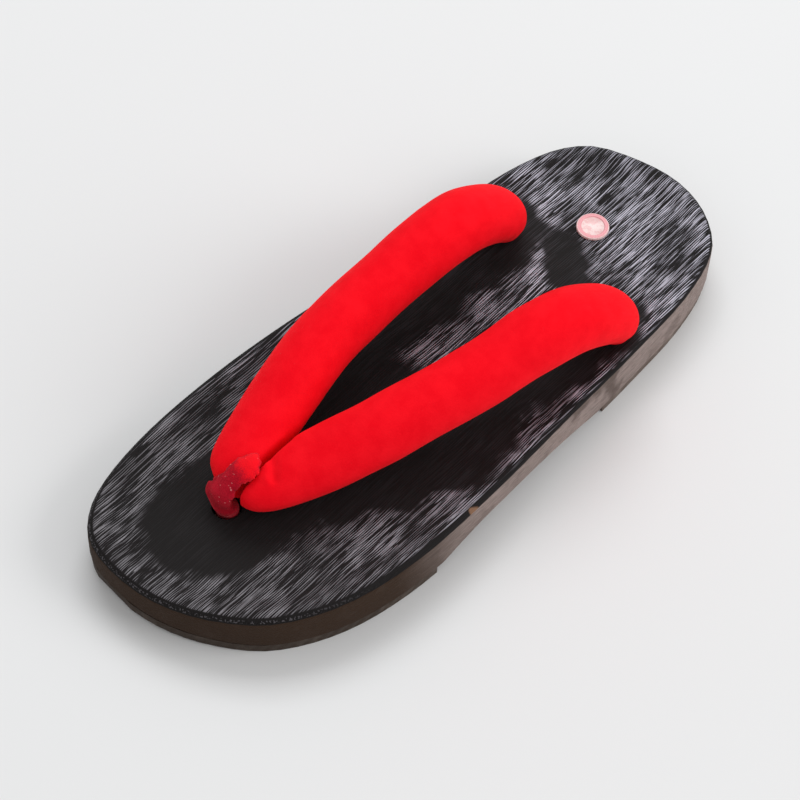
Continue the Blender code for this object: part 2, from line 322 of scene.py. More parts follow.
def streak_effect() -> bpy.types.NodeTree:
    """Return the effect of raised wood grain that runs along the shoe.

    Returns:
        The node group.
    """
    effect = Effect("StreakGrain", {
        "Vector": SocketKind.VECTOR, "Across": SocketKind.VALUE, "Along": SocketKind.VALUE,
        "Spread": SocketKind.VALUE}, ("Ridge", "Height", "Patch"))
    wiring = effect.wiring
    place = effect.entry.outputs["Vector"]
    across = effect.entry.outputs["Across"]
    sway_scale, sway_reach, patch_scale = 22.0, 3 * MM, 60.0
    line_turns, line_wander, line_share = 4.4, 9.0, 0.085
    broad_share, fine_share, fine_scale, fine_shift = 0.60, 0.40, 2.1, (7.3, 2.1, 4.4)
    ridge_low, ridge_high, height_low, height_high = 0.505, 0.59, 0.46, 0.58
    sway = wiring.math("MULTIPLY", wiring.math("SUBTRACT", wiring.clouds(place, sway_scale, 1.0), 0.5), sway_reach)
    swayed = wiring.moved(place, wiring.joined(sway, 0.0, 0.0))
    stretched = wiring.scaled(swayed, wiring.joined(across, effect.entry.outputs["Along"], across))
    broad = wiring.clouds(stretched, 1.0, 1.0)
    fine = wiring.clouds(wiring.moved(stretched, fine_shift), fine_scale, 1.0)
    patch = wiring.clouds(place, patch_scale)
    aside, _, up = wiring.split(swayed)
    turns = wiring.math("MULTIPLY", wiring.math("ADD", aside, up), wiring.math("MULTIPLY", across, line_turns))
    lines = wiring.math("SINE", wiring.math("MULTIPLY_ADD", broad, line_wander, turns))
    clouded = wiring.math("MULTIPLY_ADD", broad, broad_share, wiring.math("MULTIPLY", fine, fine_share))
    level = wiring.math("MULTIPLY_ADD", lines, line_share, clouded)
    shift = wiring.math("MULTIPLY", wiring.math("SUBTRACT", patch, 0.5), effect.entry.outputs["Spread"])
    raised = wiring.math("ADD", level, shift)
    step = wiring.math("MULTIPLY", wiring.ease(raised, height_low, height_high), 0.5)
    effect.put_out("Ridge", wiring.ease(raised, ridge_low, ridge_high))
    effect.put_out("Height", wiring.math("MULTIPLY_ADD", level, 0.5, step))
    effect.put_out("Patch", patch)
    return effect.tree


def nap_effect() -> bpy.types.NodeTree:
    """Return the effect of short fibres and handling on cloth.

    Returns:
        The node group.
    """
    effect = Effect(
        "FibreNap", {"Vector": SocketKind.VECTOR, "Size": SocketKind.VALUE}, ("Tone", "Height", "Lint"))
    wiring = effect.wiring
    place = effect.entry.outputs["Vector"]
    size = effect.entry.outputs["Size"]
    scaled = wiring.scaled(place, wiring.joined(size, size, size))
    fibres = wiring.clouds(scaled, 1.0, 3.0, 0.65)
    brushed = wiring.clouds(scaled, 0.06, 3.0, 0.55)
    effect.put_out("Tone", wiring.math("MULTIPLY_ADD", brushed, 0.7, wiring.math("MULTIPLY", fibres, 0.3)))
    effect.put_out("Height", fibres)
    effect.put_out("Lint", wiring.ease(wiring.clouds(scaled, 0.33, 1.0), 0.70, 0.76))
    return effect.tree


def dust_effect() -> bpy.types.NodeTree:
    """Return the effect of fine specks and rubbed patches.

    Returns:
        The node group.
    """
    effect = Effect(
        "RubbedSpecks", {"Vector": SocketKind.VECTOR, "Amount": SocketKind.VALUE}, ("Mask", "Height"))
    wiring = effect.wiring
    place = effect.entry.outputs["Vector"]
    specks = wiring.ease(wiring.clouds(place, 1900.0, 2.0), 0.60, 0.70)
    rubbed = wiring.ease(wiring.clouds(place, 130.0, 4.0, 0.65), 0.50, 0.72)
    mixed = wiring.math("MAXIMUM", wiring.math("MULTIPLY", specks, 0.6), rubbed)
    effect.put_out("Mask", wiring.math("MULTIPLY", mixed, effect.entry.outputs["Amount"]))
    effect.put_out("Height", wiring.clouds(place, 2600.0, 3.0, 0.6))
    return effect.tree


@dataclass(frozen=True)
class SharedEffects:
    """The effects that the finishes use."""

    streaks: bpy.types.NodeTree
    nap: bpy.types.NodeTree
    dust: bpy.types.NodeTree


EFFECTS = SharedEffects(streak_effect(), nap_effect(), dust_effect())


def new_finish(name: str) -> tuple[bpy.types.Material, Wiring, bpy.types.Node]:
    """Start a material.

    Args:
        name: The material's name.

    Returns:
        The material, its wiring and its shader node.
    """
    material = bpy.data.materials.new(name)
    material.use_nodes = True
    return material, Wiring(material.node_tree), material.node_tree.nodes["Principled BSDF"]


@dataclass(frozen=True)
class LacqueredWood:
    """Black lacquer over raised grain on top, with painted highlights on the grain ridges; brown stained wood on the
    sides, with painted light and shade.

    In the stretches of `rubbed`, each with its two ends and its half width, the grain's relief is flattened and the
    straps cast painted shade that takes out its painted highlight. The flank is blotchy along `rough_waist`, and the
    lacquer has come off along `chip`.
    """

    valley: Color = (0.0050, 0.0034, 0.0034)
    # The two grain colours next are painted highlights on the raised grain, dim at the toe and bright and bluish at
    # the heel.
    toe_ridge_highlight: Color = (0.170, 0.158, 0.172)
    heel_ridge_highlight: Color = (0.470, 0.455, 0.530)
    # Stained side colours with painted light: the toe and the inner side are darkened as painted shade, the outer side
    # paled as painted light.
    dark_stain_and_toe_shade: Color = (0.034, 0.016, 0.007)
    outer_stain_lit: Color = (0.300, 0.235, 0.215)
    inner_stain_shaded: Color = (0.110, 0.082, 0.066)
    bare: Color = (0.230, 0.120, 0.070)
    shine: float = 0.22
    valley_gloss: float = 0.72
    ridge_gloss: float = 0.26
    side_gloss: float = 0.80
    lacquer_edge: float = 0.36
    lacquer_blend: float = 0.05
    grain_turn: float = -0.085
    grain_strength: float = 0.9
    grain_depth: float = 0.35 * MM
    # Share of the painted grain highlight kept inside the straps' painted shade.
    highlight_in_shade: float = 0.03
    rim_light: float = 0.45
    # Half-width margins and wander of the stretches with the straps' painted shade.
    worn_shade_inside: float = 3 * MM
    worn_shade_outside: float = 4 * MM
    worn_shade_wander: float = 16 * MM
    chip_inside: float = 0.6 * MM
    chip_outside: float = 1.4 * MM
    chip: tuple[Point, Point] = ((-0.0480, 0.0232, 0.0), (-0.0472, 0.0252, 0.0))
    rough_waist: tuple[Point, Point] = ((-0.040, -0.055, 0.0), (-0.042, -0.020, 0.0))
    # Stretches beside the straps: painted shade takes out the grain's painted highlight there, and the relief is
    # flattened.
    rubbed: tuple[tuple[Point, Point, float], ...] = (
        ((0.007, 0.090, 0.0), (0.004, 0.062, 0.0), 0.020),
        ((0.007, 0.080, 0.0), (-0.023, 0.010, 0.0), 0.019),
        ((-0.019, 0.010, 0.0), (-0.025, -0.061, 0.0), 0.012),
        ((0.007, 0.080, 0.0), (0.026, 0.010, 0.0), 0.015),
        ((0.026, 0.010, 0.0), (0.029, -0.063, 0.0), 0.014),
        ((0.005, 0.060, 0.0), (0.003, 0.010, 0.0), 0.010),
        ((-0.004, -0.062, 0.0), (0.010, -0.072, 0.0), 0.007),
    )

    def out_of_worn_shade(self, wiring: Wiring, place: Socket) -> Socket:
        """Return where the grain is open and lit: 0 in the rubbed stretches, where the straps cast painted shade over
        the grain's highlight, 1 well away from them.

        Args:
            wiring: The material's wiring.
            place: Socket of the place.

        Returns:
            The share's socket.
        """
        cloud_scale, other_cloud = 95.0, (3.1, 5.7, 1.9)
        drift = [
            wiring.math("MULTIPLY_ADD", wiring.clouds(spot, cloud_scale, 3.0), self.worn_shade_wander,
                        -self.worn_shade_wander / 2)
            for spot in (place, wiring.moved(place, other_cloud))]
        wander = wiring.moved(place, wiring.joined(*drift, 0.0))
        clear: Any = 1.0
        for start, end, radius in self.rubbed:
            reach = wiring.from_line(wander, start, end)
            away = wiring.ease(reach, radius - self.worn_shade_inside, radius + self.worn_shade_outside)
            clear = wiring.math("MULTIPLY", clear, away)
        return clear

    def grain_highlight(self, wiring: Wiring, top: bpy.types.Node, clear: Socket, along: Socket, facing: Socket) -> Socket:
        """Return how far the painted highlight on the raised grain shows: up to the rounded rim, and over it at the
        heel.

        Args:
            wiring: The material's wiring.
            top: The footbed's grain effect.
            clear: Where the grain is open and outside the painted shade of the straps.
            along: Place along the shoe.
            facing: Upward part of the surface's direction.

        Returns:
            The share's socket.
        """
        # The painted highlight reaches over the rounded rim at the heel and stops short of it elsewhere.
        heel_rim = wiring.math("MULTIPLY", wiring.ease(facing, 0.72, 0.92), wiring.ease(along, 0.020, -0.040))
        inside_rim = wiring.math("MAXIMUM", wiring.ease(facing, 0.94, 0.995), heel_rim)
        shown = wiring.math("MULTIPLY", wiring.ease(clear, 0.0, 1.0, self.highlight_in_shade, 1.0), inside_rim)
        uneven = wiring.math("MULTIPLY", shown, wiring.ease(top.outputs["Patch"], 0.38, 0.62, 0.60, 1.1))
        return wiring.math("MULTIPLY", top.outputs["Ridge"], uneven)

    def rim_highlight_dots(self, wiring: Wiring, place: Socket, along: Socket, facing: Socket) -> Socket:
        """Return the dotted painted highlight line on the rounded rim round the toe.

        Args:
            wiring: The material's wiring.
            place: Socket of the place.
            along: Place along the shoe.
            facing: Upward part of the surface's direction.

        Returns:
            The share's socket.
        """
        rim = wiring.math("MULTIPLY", wiring.ease(facing, 0.50, 0.58), wiring.ease(facing, 0.86, 0.78))
        dotted = wiring.ease(wiring.clouds(place, 1500.0, 1.0), 0.52, 0.60)
        round_toe = wiring.ease(along, 0.060, 0.100, 0.0, self.rim_light)
        return wiring.math("MULTIPLY", wiring.math("MULTIPLY", rim, dotted), round_toe)

    def flank(self, wiring: Wiring, place: Socket, side: bpy.types.Node) -> Socket:
        """Return the colour of the stained sides: painted shade makes them dark at the toe and on the inner side,
        painted light makes them pale on the outer side of the heel.

        Args:
            wiring: The material's wiring.
            place: Socket of the place.
            side: The sides' grain effect.

        Returns:
            The colour's socket.
        """
        across, along, _ = wiring.split(place)
        dust = wiring.effect(EFFECTS.dust, Vector=place, Amount=0.5)
        # Painted shade darkens the toe and the inner side; painted light pales the outer side.
        rear = wiring.ease(along, 0.060, 0.018)
        outer = wiring.ease(across, 0.010, -0.015)
        shaded_plain = wiring.tint(outer, self.inner_stain_shaded, self.outer_stain_lit)
        stain_and_shade = wiring.tint(rear, self.dark_stain_and_toe_shade, shaded_plain)
        grained = wiring.tint(side.outputs["Ridge"], stain_and_shade, wiring.tint(0.3, stain_and_shade, self.dark_stain_and_toe_shade))
        # The pale dust patches are painted weaker towards the toe, as painted shade.
        pale_dust_shaded_at_toe = wiring.math("MULTIPLY", dust.outputs["Mask"], wiring.ease(rear, 0.0, 1.0, 0.06, 0.35))
        dusty = wiring.tint(pale_dust_shaded_at_toe, grained, self.outer_stain_lit)
        waist = wiring.ease(wiring.from_line(place, *self.rough_waist), 0.016, 0.004, 0.35, 0.80)
        blotches = wiring.math("MULTIPLY", wiring.ease(wiring.clouds(place, 75.0, 3.0), 0.48, 0.62), waist)
        return wiring.tint(blotches, dusty, wiring.tint(0.7, dusty, self.dark_stain_and_toe_shade))

    def build(self) -> bpy.types.Material:
        """Return the material."""
        material, wiring, shader = new_finish("lacquered_wood")
        place = wiring.place()
        along = wiring.split(place)[1]
        facing = wiring.split(wiring.add("ShaderNodeNewGeometry").outputs["Normal"])[2]
        ragged = wiring.math("MULTIPLY_ADD", wiring.clouds(place, 260.0, 3.0), 0.10, -0.05)
        lacquer = wiring.ease(
            wiring.math("ADD", facing, ragged), self.lacquer_edge - self.lacquer_blend,
            self.lacquer_edge + self.lacquer_blend)
        flat = wiring.scaled(wiring.turned(place, self.grain_turn), (1.0, 1.0, 0.0))
        top = wiring.effect(EFFECTS.streaks, Vector=flat, Across=2050.0, Along=65.0, Spread=0.16)
        side = wiring.effect(EFFECTS.streaks, Vector=place, Across=1500.0, Along=45.0, Spread=0.25)
        clear = self.out_of_worn_shade(wiring, place)
        highlit_ridge = self.grain_highlight(wiring, top, clear, along, facing)
        # Painted highlight colour on the raised grain, dim at the toe, bright and bluish at the heel.
        ridge_highlight = wiring.tint(wiring.ease(along, 0.105, -0.075), self.toe_ridge_highlight, self.heel_ridge_highlight)
        lit = wiring.math("MAXIMUM", highlit_ridge, self.rim_highlight_dots(wiring, place, along, facing))
        black_with_highlights = wiring.tint(lit, self.valley, ridge_highlight)
        chipped = wiring.ease(wiring.from_line(place, *self.chip), self.chip_outside, self.chip_inside)
        footbed = wiring.tint(chipped, black_with_highlights, self.bare)
        wiring.feed(shader.inputs["Base Color"], wiring.tint(lacquer, self.flank(wiring, place, side), footbed))
        gloss = wiring.ease(highlit_ridge, 0.0, 1.0, self.valley_gloss, self.ridge_gloss)
        wiring.feed(shader.inputs["Roughness"], wiring.ease(lacquer, 0.0, 1.0, self.side_gloss, gloss))
        soft = wiring.math("MULTIPLY", top.outputs["Height"], wiring.ease(clear, 0.0, 1.0, 0.35, 1.0))
        height = wiring.tint(lacquer, side.outputs["Height"], soft)
        wiring.feed(shader.inputs["Normal"], wiring.relief(height, self.grain_strength, self.grain_depth))
        shader.inputs["Specular IOR Level"].default_value = self.shine
        return material


@dataclass(frozen=True)
class NappedCloth:
    """Cloth with a short nap, which turns bright red between the two heights of `bright`."""

    name: str
    shade: Color
    light: Color
    lint: Color
    fibre: float
    sheen: float
    sheen_tint: Color
    lint_share: float
    depth: float
    bright: tuple[float, float] = (1.0, 2.0)
    tone_span: tuple[float, float] = (0.35, 0.65)
    tone_lift: float = 3 * MM
    rough: float = 0.85
    shine: float = 0.10
    sheen_rough: float = 0.45

    def build(self) -> bpy.types.Material:
        """Return the material."""
        material, wiring, shader = new_finish(self.name)
        place = wiring.place()
        nap = wiring.effect(EFFECTS.nap, Vector=place, Size=self.fibre)
        tone = wiring.ease(nap.outputs["Tone"], *self.tone_span)
        height = wiring.math(
            "MULTIPLY_ADD", wiring.math("SUBTRACT", tone, 0.5), self.tone_lift, wiring.split(place)[2])
        lit = wiring.ease(height, *self.bright)
        color = wiring.tint(wiring.math("MAXIMUM", tone, lit), self.shade, wiring.tint(lit, self.light, RED))
        linted = wiring.tint(wiring.math("MULTIPLY", nap.outputs["Lint"], self.lint_share), color, self.lint)
        wiring.feed(shader.inputs["Base Color"], linted)
        wiring.feed(shader.inputs["Normal"], wiring.relief(nap.outputs["Height"], 0.8, self.depth))
        shader.inputs["Roughness"].default_value = self.rough
        shader.inputs["Specular IOR Level"].default_value = self.shine
        shader.inputs["Sheen Weight"].default_value = self.sheen
        shader.inputs["Sheen Roughness"].default_value = self.sheen_rough
        shader.inputs["Sheen Tint"].default_value = (*self.sheen_tint, 1.0)
        return material


@dataclass(frozen=True)
class TreadRubber:
    """Brown moulded rubber, dusty at its edges, with painted shade that darkens it towards the toe."""

    base: Color = (0.120, 0.086, 0.070)
    dusty: Color = (0.240, 0.195, 0.170)
    # Painted shade colour for the rubber at the toe.
    toe: Color = (0.040, 0.026, 0.018)
    shine: float = 0.25
    rib_scale: float = 110.0
    rib_depth: float = 0.3 * MM
    speck_depth: float = 0.12 * MM

    def build(self) -> bpy.types.Material:
        """Return the material."""
        material, wiring, shader = new_finish("tread_rubber")
        place = wiring.place()
        dust = wiring.effect(EFFECTS.dust, Vector=place, Amount=0.8)
        # Painted shade darkens the rubber and weakens its dust towards the toe.
        ahead = wiring.ease(wiring.split(place)[1], 0.018, 0.060)
        shaded_plain = wiring.tint(ahead, self.base, self.toe)
        share = wiring.math("MULTIPLY", dust.outputs["Mask"], wiring.ease(ahead, 0.0, 1.0, 1.0, 0.3))
        wiring.feed(shader.inputs["Base Color"], wiring.tint(share, shaded_plain, self.dusty))
        shader.inputs["Specular IOR Level"].default_value = self.shine
        wiring.feed(shader.inputs["Roughness"], wiring.ease(dust.outputs["Mask"], 0.0, 1.0, 0.6, 0.85))
        ribs = wiring.add("ShaderNodeTexWave", wave_type="BANDS", bands_direction="DIAGONAL")
        wiring.feed(ribs.inputs["Vector"], place)
        ribs.inputs["Scale"].default_value = self.rib_scale
        ribbed = wiring.relief(ribs.outputs["Fac"], 0.6, self.rib_depth)
        wiring.feed(shader.inputs["Normal"], wiring.relief(dust.outputs["Height"], 0.6, self.speck_depth, ribbed))
        return material


@dataclass(frozen=True)
class CottonCord:
    """Undyed twisted cord, with painted shade in the grooves of its twist."""

    base: Color = (0.500, 0.400, 0.270)
    dark: Color = (0.260, 0.190, 0.120)
    twist_scale: float = 260.0
    twist_depth: float = 0.5 * MM
    fibre: float = 2600.0
    fibre_depth: float = 0.15 * MM

    def build(self) -> bpy.types.Material:
        """Return the material."""
        material, wiring, shader = new_finish("cotton_cord")
        place = wiring.place()
        twist = wiring.add("ShaderNodeTexWave", wave_type="BANDS", bands_direction="DIAGONAL")
        wiring.feed(twist.inputs["Vector"], place)
        twist.inputs["Scale"].default_value = self.twist_scale
        twist.inputs["Distortion"].default_value = 2.0
        nap = wiring.effect(EFFECTS.nap, Vector=place, Size=self.fibre)
        # Painted shade darkens the grooves of the twist.
        wiring.feed(shader.inputs["Base Color"], wiring.tint(twist.outputs["Fac"], self.dark, self.base))
        laid = wiring.relief(twist.outputs["Fac"], 0.9, self.twist_depth)
        wiring.feed(shader.inputs["Normal"], wiring.relief(nap.outputs["Height"], 0.5, self.fibre_depth, laid))
        shader.inputs["Roughness"].default_value = 0.9
        shader.inputs["Sheen Weight"].default_value = 0.3
        return material


@dataclass(frozen=True)
class BadgeEnamel:
    """Pale, mottled disc with a pink ring."""

    centre: Point
    ring: tuple[float, float]
    pale: Color = (0.880, 0.680, 0.660)
    mottle: Color = (0.800, 0.450, 0.450)
    pink: Color = (0.760, 0.300, 0.330)
    edge_blur: float = 0.15 * MM

    def build(self) -> bpy.types.Material:
        """Return the material."""
        material, wiring, shader = new_finish("badge_enamel")
        place = wiring.place(self.centre)
        x, y, _ = wiring.split(place)
        reach = wiring.add("ShaderNodeVectorMath", operation="LENGTH")
        wiring.feed(reach.inputs[0], wiring.joined(x, y, 0.0))
        radius = reach.outputs["Value"]
        inner = wiring.ease(radius, self.ring[0] - self.edge_blur, self.ring[0] + self.edge_blur)
        outer = wiring.ease(radius, self.ring[1] + self.edge_blur, self.ring[1] - self.edge_blur)
        band = wiring.math("MULTIPLY", inner, outer)
        dust = wiring.effect(EFFECTS.dust, Vector=place, Amount=0.6)
        spots = wiring.ease(wiring.clouds(place, 700.0), 0.48, 0.60, 0.0, 0.7)
        worn = wiring.tint(wiring.math("MAXIMUM", dust.outputs["Mask"], spots), self.pale, self.mottle)
        wiring.feed(shader.inputs["Base Color"], wiring.tint(band, worn, self.pink))
        wiring.feed(shader.inputs["Roughness"], wiring.ease(dust.outputs["Mask"], 0.0, 1.0, 0.3, 0.5))
        wiring.feed(shader.inputs["Normal"], wiring.relief(dust.outputs["Height"], 0.3, 0.05 * MM))
        return material


@dataclass(frozen=True)
class FloorPaint:
    """Plain pale floor."""

    tone: float = 0.775

    def build(self) -> bpy.types.Material:
        """Return the material."""
        material, wiring, shader = new_finish("pale_floor")
        cloud = wiring.clouds(wiring.place(), 3.0)
        color = wiring.tint(cloud, (self.tone,) * 3, (self.tone * 1.02,) * 3)
        wiring.feed(shader.inputs["Base Color"], color)
        shader.inputs["Roughness"].default_value = 0.9
        shader.inputs["Specular IOR Level"].default_value = 0.1
        return material


def new_piece(name: str, mesh_data: bmesh.types.BMesh, sharp: float = 35.0) -> bpy.types.Object:
    """Put a mesh into the scene as a smooth piece.

    Args:
        name: The piece's name.
        mesh_data: The mesh, which is freed.
        sharp: Edges with a larger angle than this, in degrees, stay sharp.

    Returns:
        The piece.
    """
    mesh = bpy.data.meshes.new(name)
    mesh_data.to_mesh(mesh)
    mesh_data.free()
    mesh.shade_smooth()
    mesh.set_sharp_from_angle(angle=math.radians(sharp))
    piece = bpy.data.objects.new(name, mesh)
    bpy.context.scene.collection.objects.link(piece)
    return piece


def merged_node(node: str) -> bmesh.types.BMesh:
    """Return a copy of a node's mesh with its loose triangles joined.

    Args:
        node: The node's name.

    Returns:
        The mesh.
    """
    mesh_data = bmesh.new()
    mesh_data.from_mesh(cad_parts[node].data)
    bmesh.ops.remove_doubles(mesh_data, verts=mesh_data.verts, dist=0.002 * MM)
    return mesh_data


def dress(piece: bpy.types.Object, material: bpy.types.Material, slot: Slot, *nodes: str) -> None:
    """Give a piece its material, hang it on the body and hide the nodes that it replaces.

    Args:
        piece: The piece.
        material: Its material.
        slot: The record's material slot; not used.
        nodes: The nodes that the piece replaces.
    """
    piece.data.materials.clear()
    piece.data.materials.append(material)
    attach(piece, BODY)
    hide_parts(*nodes)
    LOG.info("%s: %d faces", piece.name, len(piece.data.polygons))


def settled(piece: bpy.types.Object) -> None:
    """Put the result of a piece's modifiers into its mesh, and remove them."""
    bpy.context.view_layer.update()
    evaluated = piece.evaluated_get(bpy.context.evaluated_depsgraph_get())
    mesh = bpy.data.meshes.new_from_object(evaluated)
    piece.modifiers.clear()
    piece.data = mesh


def positions(mesh: bpy.types.Mesh) -> np.ndarray:
    """Return a mesh's points."""
    places = np.zeros(len(mesh.vertices) * 3)
    mesh.vertices.foreach_get("co", places)
    return places.reshape(-1, 3)


@dataclass
class WoodenSole:
    """The one-piece wooden sole and its two rubber treads."""

    edge_wear: float = 0.45 * MM

    def build(self) -> None:
        """Make and dress the sole and the treads."""
        self.softened("sole_block", "sole_wood", LacqueredWood().build(), Slot.WOOD)
        rubber = TreadRubber().build()
        self.softened("toe_tread", "toe_tread_rubber", rubber, Slot.RUBBER)
        self.softened("heel_tread", "heel_tread_rubber", rubber, Slot.RUBBER)

    def softened(self, node: str, name: str, material: bpy.types.Material, slot: Slot) -> None:
        """Add a piece of a node's shape with softened edges.

        Args:
            node: The node that it replaces.
            name: The piece's name.
            material: Its material.
            slot: The record's material slot.
        """
        piece = new_piece(name, merged_node(node))
        bevel = piece.modifiers.new("worn edges", "BEVEL")
        bevel.width = self.edge_wear
        bevel.segments = 2
        bevel.limit_method = "ANGLE"
        bevel.angle_limit = math.radians(35)
        dress(piece, material, slot, node)


@dataclass
class PaddedThong:
    """The padded red thong and its velvet front loop."""

    voxel: float = 1.25 * MM
    crease: tuple[Point, Point] = ((0.0056, 0.0435, 0.0), (0.0036, 0.066, 0.0))
    parting: tuple[float, float] = (0.8 * MM, 0.5 * MM)
    fold: tuple[Point, Point] = ((0.0011, 0.0665, 0.0), (-0.0044, 0.0707, 0.0))
    fold_depth: float = 1.1 * MM
    fold_width: float = 1.2 * MM
    fold_above: float = 28 * MM
    slack: float = 0.8 * MM
    cap: float = 1.2 * MM
    pressure: float = 4.0
    frames: int = 20
    pinned_below: float = 22.5 * MM
    loop_voxel: float = 0.7 * MM
    loop_lumps: float = 0.12 * MM
    loop_pile: float = 1.0 * MM
    loop_centre: float = 0.0065
    loop_spread: float = 0.30
    loop_spread_from: float = 0.069
    loop_spread_over: float = 0.008
    loop_above: float = 20 * MM
    loop_rounds: int = 5
    lump_scale: float = 220.0
    dents: float = 0.40 * MM
    dent_scale: float = 62.0

    def build(self) -> None:
        """Make and dress the thong and the loop."""
        self.straps()
        self.loop()

    def half(self, side: float) -> bmesh.types.BMesh:
        """Return one arm, cut from the joined thong along its crease.

        Args:
            side: 1 for the big-toe side, -1 for the other side.

        Returns:
            The arm's closed mesh.
        """
        run = Vector(self.crease[1]) - Vector(self.crease[0])
        aside = Vector((run.y, -run.x, 0.0)).normalized() * side
        start, end = (Vector(point) + aside * gap for point, gap in zip(self.crease, self.parting))
        along = (end - start).normalized()
        across = Vector((along.y, -along.x, 0.0)) * side
        mesh_data = merged_node("hanao_straps")
        cut = bmesh.ops.bisect_plane(
            mesh_data, geom=mesh_data.verts[:] + mesh_data.edges[:] + mesh_data.faces[:], dist=0.001 * MM,
            plane_co=start, plane_no=across, clear_inner=True)
        rim = [item for item in cut["geom_cut"] if isinstance(item, bmesh.types.BMEdge)]
        bmesh.ops.holes_fill(mesh_data, edges=rim, sides=0)
        bmesh.ops.recalc_face_normals(mesh_data, faces=mesh_data.faces)
        return mesh_data

    def remeshed(self, source: bmesh.types.BMesh, name: str, voxel: float, rounds: int) -> bpy.types.Object:
        """Return an even, smoothed mesh of a shape.

        Args:
            source: The shape's closed mesh, which is freed.
            name: The piece's name.
            voxel: Size of the even faces.
            rounds: Number of smoothings.

        Returns:
            The piece.
        """
        piece = new_piece(name, source, 180.0)
        remesh = piece.modifiers.new("even", "REMESH")
        remesh.mode = "VOXEL"
        remesh.voxel_size = voxel
        remesh.use_smooth_shade = True
        settled(piece)
        self.smoothed(piece, rounds)
        return piece

    def smoothed(self, piece: bpy.types.Object, rounds: int) -> None:
        """Smooth a piece's mesh.

        Args:
            piece: The piece.
            rounds: Number of smoothings.
        """
        mesh_data = bmesh.new()
        mesh_data.from_mesh(piece.data)
        for _ in range(rounds):
            bmesh.ops.smooth_vert(
                mesh_data, verts=mesh_data.verts, factor=0.5, use_axis_x=True, use_axis_y=True, use_axis_z=True)
        mesh_data.to_mesh(piece.data)
        mesh_data.free()

    def swollen(self, piece: bpy.types.Object) -> None:
        """Fill a slack cover from inside until it is tight, with its ends held.

        Args:
            piece: The cover, whose mesh gets the result.
        """
        mesh = piece.data
        full = positions(mesh)
        normals = np.zeros(len(mesh.vertices) * 3)
        mesh.vertices.foreach_get("normal", normals)
        held = full[:, 2] < self.pinned_below
        start = full - normals.reshape(-1, 3) * self.slack * np.where(held, 0.0, 1.0)[:, None]
        mesh.vertices.foreach_set("co", start.ravel())
        pins = piece.vertex_groups.new(name="held ends")
        pins.add([int(index) for index in np.nonzero(held)[0]], 1.0, "REPLACE")
        cloth = piece.modifiers.new("filling", "CLOTH")
        settings = cloth.settings
        settings.use_pressure = True
        settings.uniform_pressure_force = self.pressure
        settings.effector_weights.gravity = 0.0
        settings.vertex_group_mass = pins.name
        cloth.point_cache.frame_start = 1
        cloth.point_cache.frame_end = self.frames
        scene = bpy.context.scene
        for step in range(1, self.frames + 1):
            scene.frame_set(step)
        settled(piece)
        moved = positions(piece.data) - start
        length = np.linalg.norm(moved, axis=1, keepdims=True)
        moved *= np.minimum(1.0, self.cap / np.maximum(length, 1e-9))
        piece.data.vertices.foreach_set("co", (start + moved).ravel())
        piece.vertex_groups.clear()
        scene.frame_set(1)

    def rested(self, piece: bpy.types.Object, gap: float) -> None:
        """Lift whatever reaches into the wood back onto the footbed.

        Args:
            piece: The piece that lies on the sole.
            gap: Space left between them.
        """
        wood = BVHTree.FromBMesh(merged_node("sole_block"))
        for vertex in piece.data.vertices:
            hit, normal, _, _ = wood.ray_cast(vertex.co + Vector((0.0, 0.0, 10 * MM)), Vector((0.0, 0.0, -1.0)))
            if hit and hit.z > 15 * MM:
                vertex.co.z = max(vertex.co.z, hit.z + gap)

    def folded(self, piece: bpy.types.Object) -> None:
        """Press the short fold beside the crossing into the top of the cloth."""
        start, end = (Vector(point) for point in self.fold)
        run = end - start
        across = Vector((run.y, -run.x, 0.0)).normalized()
        for vertex in piece.data.vertices:
            if vertex.co.z < self.fold_above:
                continue
            away = Vector((vertex.co.x, vertex.co.y, 0.0)) - start
            share = min(1.0, max(0.0, away.dot(run) / run.length_squared))
            off = away - run * share
            dip = math.exp(-(off.length / self.fold_width) ** 2)
            swell = math.exp(-((off - across * self.fold_width * 2).length / self.fold_width) ** 2)
            vertex.co.z += self.fold_depth * (0.5 * swell - dip)

    def straps(self) -> None:
        """Make both arms of the thong as filled cloth tubes."""
        cloth = NappedCloth(
            name="red_cloth", shade=(0.89, 0.0, 0.008), light=RED, lint=(0.95, 0.10, 0.10),
            fibre=2600.0, sheen=0.06, sheen_tint=(1.0, 0.30, 0.25), lint_share=0.0, depth=0.14 * MM).build()
        self.strap("thong_inner_arm", 1.0, cloth)
        self.strap("thong_outer_arm", -1.0, cloth)

    def strap(self, name: str, side: float, cloth: bpy.types.Material) -> None:
        """Make one arm.

        Args:
            name: The piece's name.
            side: 1 for the big-toe side, -1 for the other side.
            cloth: The arm's material.
        """
        piece = self.remeshed(self.half(side), name, self.voxel, 3)
        self.swollen(piece)
        self.smoothed(piece, 2)
        for vertex in piece.data.vertices:
            vertex.co += vertex.normal * noise.noise(vertex.co * self.dent_scale) * self.dents
        self.rested(piece, 0.15 * MM)
        if side < 0:
            self.folded(piece)
        piece.data.shade_smooth()
        finer = piece.modifiers.new("finer", "SUBSURF")
        finer.levels = 1
        finer.render_levels = 1
        dress(piece, cloth, Slot.CLOTH, "hanao_straps")

